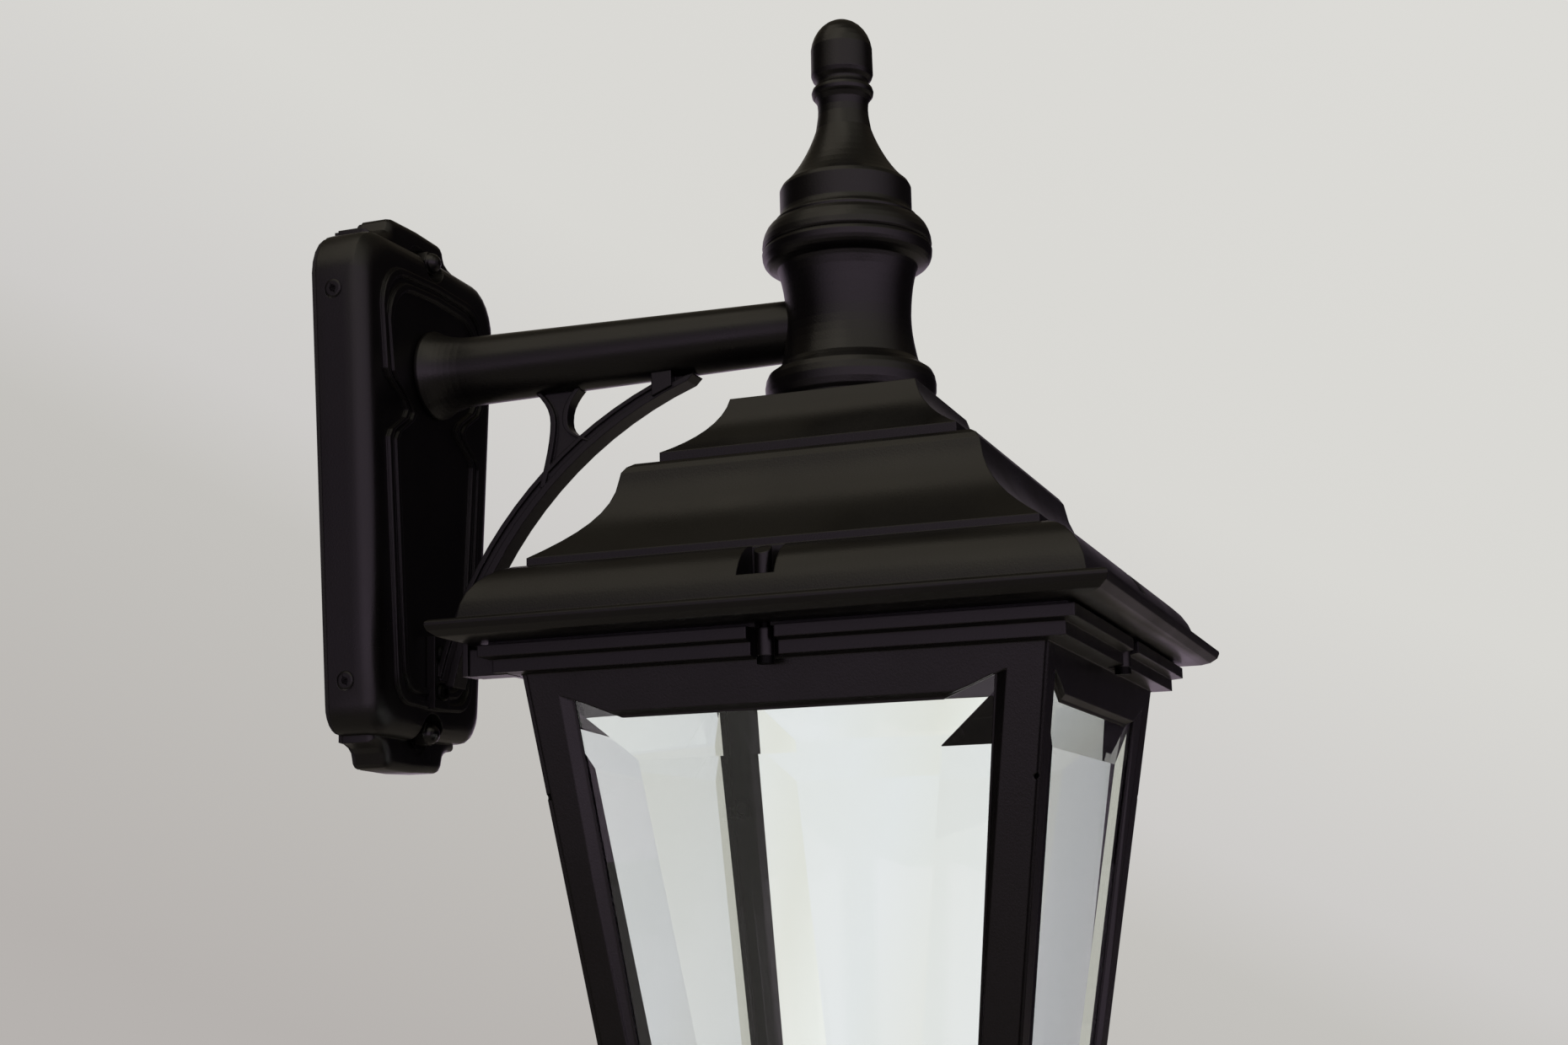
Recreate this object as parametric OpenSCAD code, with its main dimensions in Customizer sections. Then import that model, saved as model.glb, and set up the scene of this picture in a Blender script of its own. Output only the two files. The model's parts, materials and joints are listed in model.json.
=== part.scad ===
// Outdoor wall light: a square tapered lantern that hangs from a level arm on a tall wall plate.
// The wall is the plane y = 0, the light reaches out along -y, and z is up.
// The origin is the centre of the plate's back, on the wall.

/* [Overall] */
// Distance from the wall to the lantern's axis
reach = 210; // [200:1:240]
// Height of the plate's centre above the top edge of the eaves
eaves_drop = 73.5; // [66:0.5:80]
// Height of the arm's axis above the plate's centre
arm_rise = 51; // [48:0.5:56]
// Wall thickness of the castings
cast_wall = 3; // [2.5:0.1:3.5]

/* [Wall plate] */
// Overall height of the plate
plate_h = 232; // [220:1:250]
// Width of the plate at its top shoulder
plate_top_w = 112; // [104:1:124]
// Width of the plate at its bottom shoulder
plate_low_w = 86; // [80:1:100]
// Width of the narrow ends
plate_end_w = 46; // [40:1:52]
// Depth of the ears and of the flat side, from the gasket
plate_side_d = 14.5; // [13:0.5:18]
// Depth from the wall to the front face
plate_d = 24.5; // [23:0.5:28]
// Radius of the rounded front edge
plate_edge_r = 7.5; // [6:0.5:9]
// Thickness of the gasket between plate and wall
gasket_t = 2; // [1.5:0.5:3]
// Width of each raised bead on the front face
bead_w = 3.2; // [2.5:0.1:4]
// Height of the raised beads
bead_h = 1.6; // [1:0.1:2]
// Height of the waist in the beads above the plate's centre
waist_z = 31; // [20:1:40]
// Depth of the waist in the beads
waist_in = 15; // [8:1:18]

/* [Wall fixing] */
// Distance between the two wall screws
wall_pitch = 150; // [130:1:160]
// Diameter of the wall screw holes
wall_hole_d = 6.5; // [5:0.5:8]
// Thickness of the steel strap
strap_t = 2.5; // [2:0.5:3]
// Width of the steel strap
strap_w = 30; // [26:1:34]
// Distance of the cover studs from the plate's ends
stud_inset = 15; // [13:0.5:17]
// Diameter of the cover studs
stud_d = 5; // [4:0.5:6]

/* [Arm and brace] */
// Radius of the arm where it leaves the plate
arm_root_r = 14.4; // [13.5:0.1:15]
// Radius of the arm at the neck
arm_tip_r = 12.3; // [11.5:0.1:13]
// Radius of the flare against the plate
flare_r = 18.8; // [17:0.1:20]
// Length of the flare
flare_l = 22; // [18:1:26]
// Radius of the cable bore in the arm
arm_bore_r = 8; // [6.5:0.1:8.5]
// Radius of the threaded spigot behind the flare
spigot_r = 8.5; // [8:0.1:9]
// Radius of the cable bore in the spigot
spigot_bore_r = 5.5; // [4.5:0.1:6]
// Height of the brace's foot above the plate's lower end
brace_lift = 40; // [37:0.5:45]
// Distance of the brace's tip from the wall
brace_tip_d = 142.3; // [138:0.1:148]
// Radius of the brace's curve
brace_r = 166; // [162:1:172]
// Width of the brace's flange
brace_w = 10; // [8:0.5:12]
// Thickness of the brace's flange
brace_t = 3; // [2.5:0.1:4]
// Depth of the rib on the flange
rib_h = 5; // [4:0.5:7]
// Thickness of the rib and of the link to the arm
rib_w = 4; // [3:0.5:6]

/* [Neck and finial] */
// Radius of the neck at its waist
neck_r = 24.5; // [23.5:0.1:26]
// Radius of the two rings on the neck
ring_r = 33.5; // [32:0.1:34]
// Radius of the wiring bore in the neck
neck_bore_r = 8.5; // [7.5:0.1:9]
// Height of the joint between neck and finial above the eaves
joint_z = 154.8; // [152:0.2:158]
// Radius of the finial's drum
drum_r = 26.1; // [25:0.1:28]
// Radius of the finial's knob
knob_r = 12.4; // [12:0.1:14]
// Height of the finial's top above the eaves
finial_z = 250.4; // [246:0.2:258]
// Distance between the two screws that hold roof and neck together
neck_pitch = 42; // [40:1:44]

/* [Roof] */
// Width of the roof over the eaves lip
eaves_w = 240; // [234:1:246]
// Height of the flat top above the eaves
roof_h = 90; // [88:0.5:94]
// Thickness of the seal between roof and frame
seal_t = 1.2; // [0.8:0.1:1.5]

/* [Lantern frame] */
// Overhang of the eaves beyond the frame's body under its cornice
eaves_over = 25; // [22:0.5:28]
// Narrowing of each side for each millimetre of height
taper = 0.1465; // [0.12:0.0005:0.16]
// Height of the frame from its top to its foot
frame_h = 208; // [190:1:220]
// Width of the posts on each face
post_w = 12; // [10:0.1:13]
// Width of the splay beside the window at its top
splay_top_w = 5.6; // [4:0.1:7]
// Width of the splay beside the window at its foot
splay_low_w = 1.6; // [1.2:0.1:3]
// Height of the window's top edge below the eaves
window_drop = 32.2; // [30:0.2:36]
// Height of the frame's bottom rail
rail_h = 16; // [12:1:20]

/* [Glass] */
// Thickness of the glass
glass_t = 4; // [3:0.5:5]
// Thickness of the glass at its bevelled edge
glass_edge_t = 2; // [1.5:0.1:2.5]
// Width of the bevel
bevel_w = 12; // [8:1:14]
// Clearance between the glass and what holds it
glass_gap = 0.2; // [0.1:0.05:0.4]

/* [Lampholder] */
// Radius of the ceramic holder
holder_r = 21; // [19:0.5:23]
// Length of the ceramic holder
holder_l = 46; // [42:1:50]
// Height of the holder's mouth above the eaves
mouth_z = 3; // [0:1:8]
// Inner radius of the threaded shell for the lamp
lamp_r = 13.4; // [13.2:0.05:13.6]
// Depth of the shell's thread
lamp_thread_l = 24; // [20:1:26]

/* [Hidden] */

$fn = 48;
black = "#1c1b1c";
zinc = "#b4b6b2";
brass = "#b08d4a";
rubber = "#26262a";
slip = 0.15;
eps = 0.01;
// Heights below are measured from the top edge of the eaves
eaves_z = -eaves_drop;
arm_z = arm_rise;
lean = atan(taper);
lip_half = eaves_w / 2;
body_half = lip_half - eaves_over;

// Points on a curve with four control points
function curve(a, b, c, d, n) = [for (i = [0 : n]) let (t = i / n, s = 1 - t)
    s * s * s * a + 3 * s * s * t * b + 3 * s * t * t * c + t * t * t * d];
// Points on an elliptic arc
function arc(cx, cy, rx, ry, a0, a1, n) = [for (i = [0 : n]) let (a = a0 + (a1 - a0) * i / n)
    [cx + rx * cos(a), cy + ry * sin(a)]];
function flipped(list) = [for (i = [len(list) - 1 : -1 : 0]) [-list[i][0], list[i][1]]];
function reversed(list) = [for (i = [len(list) - 1 : -1 : 0]) list[i]];
function shifted(list, d) = [for (p = list) p + d];

// A solid through matching rings of points, from the wall side to the front
module loft(rings) {
    n = len(rings[0]);
    m = len(rings);
    walls = [for (k = [0 : m - 2], i = [0 : n - 1]) let (j = (i + 1) % n)
        each [[k * n + i, k * n + j, (k + 1) * n + j], [k * n + i, (k + 1) * n + j, (k + 1) * n + i]]];
    polyhedron([for (r = rings) each r],
        concat([[for (i = [n - 1 : -1 : 0]) i]], walls, [[for (i = [0 : n - 1]) (m - 1) * n + i]]));
}

// A shape drawn in x and z, pushed out from the wall between two depths
module from_wall(d0, d1) {
    translate([0, -d0, 0])
        rotate([90, 0, 0])
            linear_extrude(d1 - d0)
                children();
}

// A shape drawn with depth from the wall and height, given a thickness across
module across(thick) {
    rotate([90, 0, -90])
        translate([0, 0, -thick / 2])
            linear_extrude(thick)
                children();
}

// A round bar along the wall's normal
module bar_out(r, d0, d1, z = 0, x = 0) {
    translate([x, -d0, z])
        rotate([90, 0, 0])
            cylinder(r = r, h = d1 - d0);
}

// Everything on the lantern's own axis, with height 0 at the eaves
module at_lantern() {
    translate([0, -reach, eaves_z])
        children();
}

// A square moulding: the same half profile seen from the front and from the side
module mitred(half) {
    outline = concat(half, flipped(half));
    span = 2 * max([for (p = half) p[0]]) + 2;
    intersection() {
        rotate([90, 0, 0])
            linear_extrude(span, center = true)
                polygon(outline);
        rotate([90, 0, 90])
            linear_extrude(span, center = true)
                polygon(outline);
    }
}

module four_sides() {
    for (a = [0 : 90 : 270])
        rotate([0, 0, a])
            children();
}

// Wall plate

end_half = plate_end_w / 2;
ear_corner = 4;
cove_h = 6;
step_h = 3;
shoulder_ratio = 1.15;
ear_depth = gasket_t + plate_side_d;

ear_root = 28;

// Right-hand half of an ear at the plate's end, as x and drop from the end; its root lies in the body
function ear_side(half, end) = let (s = (half - end) / 2)
    concat([[0, -0.6]],
        arc(end - ear_corner, ear_corner, ear_corner, ear_corner, -90, 0, 3),
        [for (p = arc(end + s, ear_corner, s, cove_h, 180, 90, 4)) if (p[0] > end + eps) p],
        [[end + s, ear_root]]);
// The shoulder of the raised body beside the ear
function body_shoulder(half, end) = let (s = (half - end) / 2, drop = ear_corner + cove_h + step_h)
    concat([[0, drop - 1]],
        arc(end + s, drop + s * shoulder_ratio, s, s * shoulder_ratio, -90, 0, 6));
function place_up(list, inset) = [for (p = list) [p[0], plate_h / 2 - inset - p[1]]];
function place_down(list, inset) = [for (p = list) [p[0], -plate_h / 2 + inset + p[1]]];
function both_sides(right) = concat(right, [for (p = flipped(right)) if (p[0] < -eps) p]);
function top_ear(inset) = both_sides(place_up(ear_side(plate_top_w / 2 - inset, end_half - inset), inset));
function low_ear(inset) = reversed(both_sides(place_down(ear_side(plate_low_w / 2 - inset, end_half - inset), inset)));
function body_outline(inset) = both_sides(concat(
    place_up(body_shoulder(plate_top_w / 2 - inset, end_half - inset), inset),
    reversed(place_down(body_shoulder(plate_low_w / 2 - inset, end_half - inset), inset))));
function ring_at(outline, d) = [for (p = outline) [p[0], -d, p[1]]];
// Half width of the straight side at a height
function side_half(z) = plate_top_w / 2 + (plate_low_w - plate_top_w) / 2 * (0.5 - z / (plate_h * 0.77));
waist_h = 14;
// The bead line follows the body's outline and draws in at the waist
function bead_side(inset) = [for (t = [-1 : 0.25 : 1])
    [side_half(waist_z - t * waist_h) - inset - waist_in * (1 + cos(180 * t)) / 2, waist_z - t * waist_h]];
function bead_outline(inset) = let (
        top = place_up(body_shoulder(plate_top_w / 2 - inset, end_half - inset), inset),
        low = place_down(body_shoulder(plate_low_w / 2 - inset, end_half - inset), inset),
        right = concat(top, bead_side(inset), reversed(low)))
    both_sides(right);

edge_steps = 5;
ear_edge_r = 3.5;
nut_seat_r = 8.5;
// The nuts' seats are spot-faced a little into the ears
seat_d = ear_depth - 0.4;
stud_z = plate_h / 2 - stud_inset;
foot_hole_z = 8;
foot_hole_r = 2.1;

// Rings of one outline from the wall side to a rounded front edge; which: 0 body, 1 top ear, 2 low ear
function outline_of(which, inset) = which == 0 ? body_outline(inset) : which == 1 ? top_ear(inset) : low_ear(inset);
module rounded_slab(which, d0, d1, r) {
    flat = ring_at(outline_of(which, 0), d0);
    edge = [for (i = [0 : edge_steps]) let (a = 90 * i / edge_steps)
        ring_at(outline_of(which, r * (1 - cos(a))), d1 - r + r * sin(a))];
    past = ring_at(outline_of(which, r), d1 + 1);
    difference() {
        loft(concat([flat], edge, [past]));
        from_wall(d1, d1 + 2)
            square(2 * plate_h, center = true);
    }
}
module plain_slab(which, inset, d0, d1) {
    loft([ring_at(outline_of(which, inset), d0), ring_at(outline_of(which, inset), d1)]);
}

module wall_plate() {
    color(black)
        difference() {
            union() {
                for (ear = [1, 2])
                    rounded_slab(ear, -1, ear_depth, ear_edge_r);
                rounded_slab(0, -1, plate_d, plate_edge_r);
                for (inset = [plate_edge_r + 5, plate_edge_r + 5 + bead_w * 1.6])
                    bead_ring(inset);
            }
            for (s = [-1, 1])
                bar_out(nut_seat_r, seat_d, plate_d + 5, s * stud_z);
            for (ear = [1, 2])
                plain_slab(ear, cast_wall, -2, ear_depth - cast_wall);
            difference() {
                plain_slab(0, cast_wall * 1.4, -2, plate_d - cast_wall);
                for (s = [-1, 1])
                    bar_out(nut_seat_r + cast_wall, seat_d - cast_wall, plate_d, s * stud_z);
            }
            from_wall(-5, gasket_t)
                square(2 * plate_h, center = true);
            bar_out(spigot_r + slip, 0, plate_d + 5, arm_z);
            for (s = [-1, 1])
                bar_out(stud_d / 2 + slip, 0, plate_d, s * stud_z);
            for (s = [-1, 1])
                bar_out(foot_hole_r + slip, 0, plate_d + 5, brace_foot_z + s * foot_hole_z);
            plug_places()
                cylinder(r = plug_r + slip, h = 2 * cast_wall);
        }
}

module bead_ring(inset) {
    for (layer = [[0, 0.6], [0.55, 1]])
        from_wall(plate_d - 1, plate_d + bead_h * layer[1])
            difference() {
                polygon(bead_outline(inset + layer[0]));
                polygon(bead_outline(inset + bead_w - layer[0]));
            }
}

module wall_gasket() {
    color(rubber)
        from_wall(0, gasket_t)
            difference() {
                union() {
                    for (which = [0 : 2])
                        polygon(outline_of(which, 0.5));
                }
                for (which = [0 : 2])
                    polygon(outline_of(which, which == 0 ? cast_wall * 1.4 : cast_wall));
            }
}

plug_r = 3.7;
plug_z = [plate_h / 2 - 40, -plate_h / 2 + 34];
// Places of the four plugs in the plate's sides
module plug_places() {
    for (s = [-1, 1], z = plug_z)
        translate([s * (side_half(z) + 0.3), -(gasket_t + plate_side_d * 0.55), z])
            rotate([0, -90 * s, 0])
                children();
}

module side_plugs() {
    color(black)
        plug_places()
            union() {
                cylinder(r = plug_r, h = cast_wall);
                translate([0, 0, cast_wall - eps])
                    cylinder(r = plug_r - 1, h = 1);
            }
}

// Wall fixing

module wall_bracket() {
    color(zinc)
        difference() {
            from_wall(0, strap_t)
                union() {
                    square([strap_w, 2 * stud_z - 14], center = true);
                    square([strap_w * 0.5, 2 * stud_z + 12], center = true);
                }
            for (s = [-1, 1])
                bar_out(wall_hole_d / 2, -1, strap_t + 1, s * wall_pitch / 2);
            for (s = [-1, 1])
                bar_out(stud_d / 2 + 0.01, -1, strap_t + 1, s * stud_z);
            bar_out(supply_hole_r, -1, strap_t + 1, supply_hole_z);
            bar_out(earth_r + 0.01, -1, strap_t + 1, earth_z, earth_x);
            for (s = [-1, 1])
                bar_out(1.6, -1, strap_t + 1, block_z, s * block_hole_x);
        }
}

module cover_studs() {
    color(zinc)
        for (s = [-1, 1])
            bar_out(stud_d / 2, 0, seat_d + nut_h + 1, s * stud_z);
}

washer_t = 1.2;
nut_h = 5;
nut_af = 8;
module cover_washers() {
    color(black)
        for (s = [-1, 1])
            difference() {
                bar_out(6.2, seat_d + slip, seat_d + slip + washer_t, s * stud_z);
                bar_out(stud_d / 2 + slip, seat_d - 1, seat_d + 4, s * stud_z);
            }
}

// A cap nut: a hexagon with a dome on it
module dome_nuts() {
    base = seat_d + 2 * slip + washer_t;
    hex_r = nut_af / 2 / cos(30) + 0.6;
    color(black)
        for (s = [-1, 1])
            difference() {
                translate([0, -base, s * stud_z])
                    rotate([90, 0, 0])
                        union() {
                            cylinder(r = hex_r, h = nut_h, $fn = 6);
                            translate([0, 0, nut_h - eps])
                                rotate_extrude($fn = 24)
                                    polygon(concat([[0, 0]], arc(0, 0, hex_r * 0.84, nut_h * 0.9, 0, 90, 5)));
                        }
                bar_out(stud_d / 2 + 0.02, base - 1, seat_d + nut_h + 1.5, s * stud_z);
            }
}

// Terminal block and earth, on the strap

supply_hole_r = 8;
supply_hole_z = 12;

block_z = -32;
block_hole_x = 11;
block_core_l = 16;
block_h = 15;
block_l = 28;
block_d = 12;
earth_z = 32;
earth_x = 9.5;
earth_r = 2;

module terminal_block() {
    color("#e8e4d8")
        difference() {
            union() {
                from_wall(strap_t + slip, strap_t + block_d)
                    translate([0, block_z])
                        square([block_core_l, block_h], center = true);
                from_wall(strap_t + slip, strap_t + 5)
                    translate([0, block_z])
                        square([block_l, 9], center = true);
            }
            for (x = [-5, 0, 5]) {
                bar_out(1.7, strap_t + 6, strap_t + block_d + 1, block_z, x);
                translate([x, -(strap_t + 7), block_z])
                    cylinder(r = 1.9, h = 20, center = true);
            }
            for (s = [-1, 1])
                bar_out(1.6, 0, strap_t + 6, block_z, s * block_hole_x);
        }
}

module terminal_screws() {
    color(zinc) {
        for (s = [-1, 1])
            bar_out(1.5, 0, strap_t + 6, block_z, s * block_hole_x);
        for (s = [-1, 1])
            bar_out(2.6, strap_t + 5 + slip, strap_t + 7, block_z, s * block_hole_x);
        for (x = [-5, 0, 5])
            bar_out(1.6, strap_t + 9, strap_t + block_d - 0.5, block_z, x);
    }
}

module earth_screw() {
    color(brass)
        union() {
            bar_out(earth_r, 0, strap_t + 4, earth_z, earth_x);
            bar_out(4, strap_t + slip, strap_t + 2.6, earth_z, earth_x);
        }
}

// Arm

socket_d = 15;
arm_end = reach - (neck_r - socket_d);
spigot_start = plate_d - cast_wall - 11;
flare_start = plate_d + bead_h * 0;

function arm_r_at(d) = arm_root_r + (arm_tip_r - arm_root_r) * (d - plate_d - flare_l) / (reach - neck_r - plate_d - flare_l);

module arm_body() {
    outer = concat(
        [[0, flare_start], [flare_r - 1, flare_start], [flare_r, flare_start + 1.2]],
        curve([flare_r, flare_start + 2.4], [flare_r - 2.6, flare_start + flare_l * 0.3],
            [arm_root_r, flare_start + flare_l * 0.55], [arm_root_r, flare_start + flare_l], 8),
        [[arm_tip_r, reach - neck_r - 2], [arm_tip_r, arm_end], [0, arm_end]]);
    translate([0, 0, arm_z])
        rotate([90, 0, 0])
            rotate_extrude()
                polygon(outer);
}

module arm() {
    color(black)
        difference() {
            union() {
                arm_body();
                bar_out(spigot_r, spigot_start, flare_start + 2, arm_z);
            }
            bar_out(spigot_bore_r, 0, flare_start + 8, arm_z);
            bar_out(arm_bore_r, flare_start + 7, arm_end + 1, arm_z);
        }
}

module arm_washer() {
    color(zinc)
        difference() {
            bar_out(13, plate_d - cast_wall - 1.7, plate_d - cast_wall - slip, arm_z);
            bar_out(spigot_r + slip, 0, plate_d, arm_z);
        }
}

module arm_nut() {
    inner = plate_d - cast_wall - 1.7 - slip;
    color(zinc)
        difference() {
            translate([0, -(inner - 6), arm_z])
                rotate([90, 0, 0])
                    cylinder(r = 13.5, h = 6, $fn = 6);
            bar_out(spigot_r + 0.02, 0, plate_d, arm_z);
        }
}

// Brace

// The curve runs from the foot to the tip, as depth and height, about a centre below and outside it
brace_foot_z = -plate_h / 2 + brace_lift;
brace_heel = [plate_d + 9, brace_foot_z - 6];
brace_tip = [brace_tip_d, arm_z - arm_tip_r - 2.7];
brace_chord = brace_tip - brace_heel;
brace_c = (brace_tip + brace_heel) / 2
    + sqrt(brace_r * brace_r - brace_chord * brace_chord / 4) / norm(brace_chord) * [brace_chord[1], -brace_chord[0]];
function angle_of(p) = atan2(brace_c[0] - p[0], p[1] - brace_c[1]);
brace_tip_a = angle_of(brace_tip);
brace_low_a = angle_of(brace_heel);
function brace_z_at(d) = brace_c[1] + sqrt(brace_r * brace_r - (brace_c[0] - d) * (brace_c[0] - d));
brace_steps = 16;
// The section swells from the tip to the foot, about its middle
brace_mid = 2;
function swell(a) = 0.74 + 0.46 * (a - brace_tip_a) / (brace_low_a - brace_tip_a);
function brace_point(a, off) = brace_c + (brace_r + brace_mid + (off - brace_mid) * swell(a)) * [-sin(a), cos(a)];
function brace_band(off0, off1, a0, a1) = concat(
    [for (i = [0 : brace_steps]) brace_point(a0 + (a1 - a0) * i / brace_steps, off0)],
    [for (i = [brace_steps : -1 : 0]) brace_point(a0 + (a1 - a0) * i / brace_steps, off1)]);
link_d = 85;
lug_d = brace_tip_d - 10.3;
lug_l = 8.6;
foot_t = 4;

module brace_side(across_w) {
    across(across_w)
        children();
}

module brace() {
    low = -2.4;
    foot_face = plate_d + slip;
    color(black)
        difference() {
            union() {
                brace_side(brace_w)
                    polygon(concat([brace_point(brace_tip_a - 1.2, 0)],
                        brace_band(low + brace_t, low, brace_tip_a, brace_low_a)));
                brace_side(rib_w)
                    polygon(concat([brace_point(brace_tip_a - 1, 0)],
                        brace_band(low + brace_t + rib_h, low + 1, brace_tip_a + 2.5, brace_low_a - 0.5)));
                brace_side(rib_w + 2.4)
                    polygon(brace_band(low + brace_t + rib_h + 0.6, low + brace_t + rib_h - 1.4, brace_tip_a + 5, brace_low_a - 1));
                brace_link();
                brace_side(brace_w + 3)
                    polygon([[lug_d - lug_l / 2, brace_z_at(lug_d - lug_l / 2) - 0.6], [lug_d + lug_l / 2, brace_z_at(lug_d + lug_l / 2) - 0.6],
                        [lug_d + lug_l / 2, arm_z - 10], [lug_d - lug_l / 2, arm_z - 10]]);
                from_wall(foot_face - 1, foot_face + foot_t)
                    translate([0, brace_foot_z])
                        square([brace_w + 2, 30], center = true);
            }
            from_wall(-10, foot_face)
                square([4 * brace_w, 4 * plate_h], center = true);
            translate([0, 0, arm_z])
                rotate([90, 0, 0])
                    rotate_extrude()
                        polygon([[0, plate_d], [arm_root_r + slip, plate_d],
                            [arm_root_r + slip, plate_d + flare_l], [arm_tip_r + slip, reach - neck_r - 2],
                            [0, reach - neck_r - 2]]);
            for (s = [-1, 1])
                bar_out(foot_hole_r - 0.4, plate_d - 1, foot_face + foot_t + 3, brace_foot_z + s * foot_hole_z);
        }
}

// The waisted link between the brace and the arm
module brace_link() {
    top = arm_z - arm_root_r + 4;
    low = brace_z_at(link_d);
    mid = low + (top - low) * 0.56;
    waist = 3.8;
    left = concat(curve([link_d - 14, top], [link_d - 7, top - 6], [link_d - waist, mid + 6], [link_d - waist, mid], 6),
        curve([link_d - waist, mid], [link_d - waist, mid - 7], [link_d - 6, low + 5], [link_d - 9, brace_z_at(link_d - 9) + 3], 6));
    right = concat(curve([link_d + 14, brace_z_at(link_d + 14) + 1], [link_d + 6, mid - 6], [link_d + waist - 0.8, mid - 4], [link_d + waist - 0.8, mid + 1], 6),
        curve([link_d + waist - 0.8, mid + 1], [link_d + waist - 0.8, mid + 7], [link_d + 5.6, top - 6], [link_d + 12, top], 6));
    brace_side(rib_w - 1.5)
        polygon(concat(left, right));
    brace_side(rib_w + 2.5)
        polygon(concat(shifted(left, [-0.4, 0]), reversed(shifted(left, [1.8, 0]))));
    brace_side(rib_w + 2.5)
        polygon(concat(shifted(right, [0.4, 0]), reversed(shifted(right, [-1.8, 0]))));
}

module brace_screws() {
    color(zinc)
        for (s = [-1, 1])
            translate([0, 0, brace_foot_z + s * foot_hole_z])
                union() {
                    bar_out(foot_hole_r - 0.42, plate_d - cast_wall - 3, plate_d + foot_t + 2);
                    bar_out(3.8, plate_d - cast_wall - 2.6, plate_d - cast_wall - slip);
                }
}

// Neck and finial, turned shapes on the lantern's axis

neck_screw_r = 2.5;
foot_ring_h = 14;
stud_r = 4;

module neck() {
    profile = concat(
        [[neck_bore_r, roof_h + neck_seal_t]],
        [[ring_r - 1.2, roof_h + neck_seal_t]],
        arc(ring_r - 3, roof_h + neck_seal_t + foot_ring_h / 2, 3, foot_ring_h / 2 - 0.3, -70, 60, 5),
        [[neck_r + 4, roof_h + foot_ring_h + 2]],
        curve([neck_r + 2.4, roof_h + 18], [neck_r + 0.8, roof_h + 25], [neck_r, roof_h + 30], [neck_r, roof_h + 36], 5),
        curve([neck_r, roof_h + 37], [neck_r + 0.3, roof_h + 44], [neck_r + 1, roof_h + 50], [neck_r + 2.6, roof_h + 55], 5),
        [[neck_r + 3.2, roof_h + 56.6]],
        curve([ring_r - 2.6, joint_z - 7.2], [ring_r - 1, joint_z - 6.4], [ring_r + 0.1, joint_z - 5], [ring_r + 0.1, joint_z - 1.6], 4),
        [[ring_r - 0.7, joint_z]],
        [[stud_r, joint_z], [stud_r, joint_z - 14], [neck_bore_r, joint_z - 14]]);
    color(black)
        at_lantern()
            difference() {
                rotate_extrude($fn = 64)
                    polygon(profile);
                translate([0, 0, arm_z - eaves_z])
                    rotate([-90, 0, 0])
                        cylinder(r = arm_tip_r + slip, h = 60);
                for (s = [-1, 1])
                    translate([s * neck_pitch / 2, 0, roof_h - 1])
                        cylinder(r = neck_screw_r, h = 16);
                translate([0, grub_y, arm_z - eaves_z])
                    rotate([0, 90, 0])
                        cylinder(r = 2.5, h = 60);
            }
}

grub_y = 16;
module grub_screw() {
    color(zinc)
        at_lantern()
            translate([arm_tip_r + slip - 1.2, grub_y, arm_z - eaves_z])
                rotate([0, 90, 0])
                    difference() {
                        translate([0, 0, 1.2])
                            cylinder(r = 2.48, h = 5);
                        translate([0, 0, 4.2])
                            cylinder(r = 1.3, h = 3, $fn = 6);
                    }
}

neck_seal_t = 0.8;
module neck_gasket() {
    color(rubber)
        at_lantern()
            translate([0, 0, roof_h])
                difference() {
                    cylinder(r = ring_r - 2.5, h = neck_seal_t);
                    translate([0, 0, -1])
                        cylinder(r = neck_bore_r + 1, h = 3);
                    for (s = [-1, 1])
                        translate([s * neck_pitch / 2, 0, -1])
                            cylinder(r = neck_screw_r + 0.5, h = 3);
                }
}

module finial() {
    j = joint_z + 0.05;
    groove_r = knob_r - 1.9;
    knob_low = finial_z - 30.8;
    profile = concat(
        [[0, j], [ring_r - 0.6, j]],
        curve([ring_r, j + 0.9], [ring_r, j + 4], [ring_r - 1.4, j + 7.5], [ring_r - 3, j + 9], 4),
        [[ring_r - 5, j + 9.8], [ring_r - 4.9, j + 10.8]],
        curve([drum_r + 2.2, j + 11.4], [drum_r + 0.8, j + 12], [drum_r + 0.2, j + 13], [drum_r + 0.1, j + 14.2], 3),
        [[drum_r, j + 14.8], [drum_r, j + 24]],
        curve([drum_r - 0.8, j + 25.6], [drum_r - 6, j + 29.8], [14, j + 40], [11.1, j + 49], 8),
        curve([10.6, j + 52], [10, j + 55], [9.8, j + 58], [10.2, j + 60.6], 3),
        [[11.5, knob_low - 1.6]],
        arc(knob_r - 2.2, knob_low, 2.2, 2.6, -60, 70, 4),
        [[groove_r, knob_low + 3.4], [groove_r, knob_low + 4.6]],
        [[knob_r - 0.6, knob_low + 6], [knob_r, knob_low + 7.6]],
        arc(0, finial_z - 14.4, knob_r, 14.4, 8, 90, 8));
    color(black)
        at_lantern()
            difference() {
                rotate_extrude($fn = 64)
                    polygon(profile);
                translate([0, 0, joint_z - 1])
                    cylinder(r = stud_r, h = 19);
            }
}

module finial_stud() {
    color(zinc)
        at_lantern()
            translate([0, 0, joint_z - 12])
                cylinder(r = stud_r - 0.02, h = 28);
}

// Roof, a hollow casting with three tiers

lip_t = 6.2;
tier3_half = lip_half - 8.3;
tier2_half = lip_half - 26.5;
plateau_half = ring_r + 3;
tier1_half = (plateau_half + tier2_half) / 2 - 8;
opening_half = lip_half - 23;
// Height of the roof's foot above the eaves, the heights of its tiers' edges and their steps
tier3_z = 2.2;
tier1_z = roof_h - 22.9;
tier1_step = 4.1;
tier2_z = roof_h - 65.4;
tier2_step = 2.8;

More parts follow.
